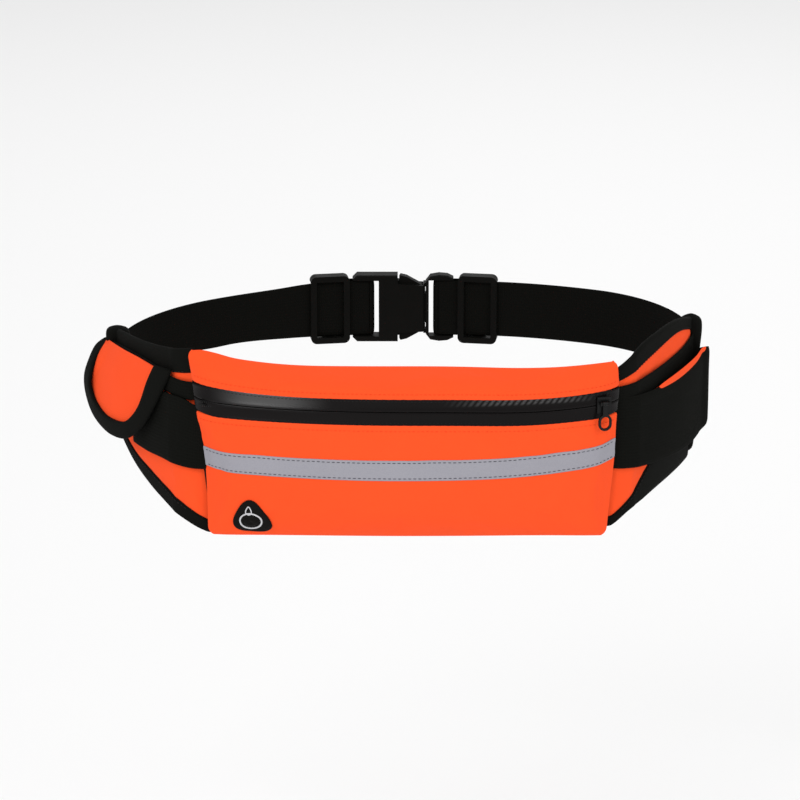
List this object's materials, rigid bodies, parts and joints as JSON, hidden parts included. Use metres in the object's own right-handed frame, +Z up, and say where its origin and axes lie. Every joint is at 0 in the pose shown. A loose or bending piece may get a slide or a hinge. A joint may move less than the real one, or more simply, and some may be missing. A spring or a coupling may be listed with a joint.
{
  "type": "waist pack",
  "caption": "Slim running waist pack: curved zipped pouch with reflective strip and earphone port, elastic side wings, and an adjustable webbing belt with a side-release buckle.",
  "frame": {"origin": "centre of the waist loop, at half the width of the belt webbing", "axes": "+X to the wearer's left (the right of the picture), +Y from the pouch towards the buckle, +Z up"},
  "size_m": [0.4016, 0.2235, 0.112],
  "materials": {
    "orange_foam": "matte",
    "black_lining": "matte",
    "black_binding": "matte",
    "black_elastic": "matte",
    "black_webbing": "matte",
    "zip_film": "gloss",
    "zip_coil": "satin",
    "slider_metal": "satin",
    "reflective": "satin",
    "port_rubber": "matte",
    "silver_print": "satin",
    "buckle_plastic": "satin"
  },
  "bodies": {
    "pack": {"buckle_female": "buckle_plastic", "earphone_patch": "port_rubber", "earphone_ring": "silver_print", "gel_pocket": "orange_foam", "gel_pocket_binding": "black_binding", "pouch_back_wall": "black_lining", "pouch_front_lower": "orange_foam", "pouch_front_upper": "orange_foam", "reflective_strip": "reflective", "side_band_lower_left": "black_elastic", "side_band_lower_right": "black_elastic", "side_band_upper_left": "black_elastic", "side_band_upper_right": "black_elastic", "strap_left": "black_webbing", "strap_right": "black_webbing", "strap_turn_left": "black_webbing", "wing_bottom_binding_left": "black_binding", "wing_bottom_binding_right": "black_binding", "wing_end_tab_left": "black_binding", "wing_end_tab_right": "black_binding", "wing_panel_left": "orange_foam", "wing_panel_right": "orange_foam", "wing_top_binding_left": "black_binding", "wing_top_binding_right": "black_binding", "zipper_coil_lower": "zip_coil", "zipper_coil_upper": "zip_coil", "zipper_tape_lower": "zip_film", "zipper_tape_upper": "zip_film"},
    "slider": {"zip_slider": "slider_metal"},
    "pull": {"zip_pull": "slider_metal"},
    "buckle_plug": {"buckle_male": "buckle_plastic", "strap_turn_right": "black_webbing"},
    "prong_upper": {"buckle_prong_upper": "buckle_plastic"},
    "prong_lower": {"buckle_prong_lower": "buckle_plastic"},
    "tri_glide_left": {"adjuster_left": "buckle_plastic"},
    "tri_glide_right": {"adjuster_right": "buckle_plastic"}
  },
  "joints": [
    {"name": "zip_slide", "type": "hinge", "parent": "pack", "child": "slider", "pos_m": [0, 0.38, 0], "axis": [0, 0, -1], "range_deg": [0, 28]},
    {"name": "zip_pull_swing", "type": "hinge", "parent": "slider", "child": "pull", "pos_m": [0.12379, -0.10743, 0.0025], "axis": [-0.9692, -0.2462, 0], "range_deg": [0, 150]},
    {"name": "buckle_release", "type": "slide", "parent": "pack", "child": "buckle_plug", "axis": [1, 0, 0], "range_m": [0, 0.03], "deforming": ["strap_right"]},
    {"name": "prong_upper_squeeze", "type": "hinge", "parent": "buckle_plug", "child": "prong_upper", "pos_m": [0.012, 0.098, 0.0125], "axis": [0, -1, 0], "range_deg": [0, 6], "stiffness_Nm_per_rad": 1},
    {"name": "prong_lower_squeeze", "type": "hinge", "parent": "buckle_plug", "child": "prong_lower", "pos_m": [0.012, 0.098, -0.0125], "axis": [0, 1, 0], "range_deg": [0, 6], "stiffness_Nm_per_rad": 1},
    {"name": "adjuster_left_slide", "type": "hinge", "parent": "pack", "child": "tri_glide_left", "pos_m": [0, -0.247, 0], "axis": [0, 0, 1], "range_deg": [0, 11], "deforming": ["strap_turn_left"]},
    {"name": "adjuster_right_slide", "type": "hinge", "parent": "buckle_plug", "child": "tri_glide_right", "pos_m": [0, -0.247, 0], "axis": [0, 0, -1], "range_deg": [0, 11], "deforming": ["strap_turn_right"]}
  ]
}
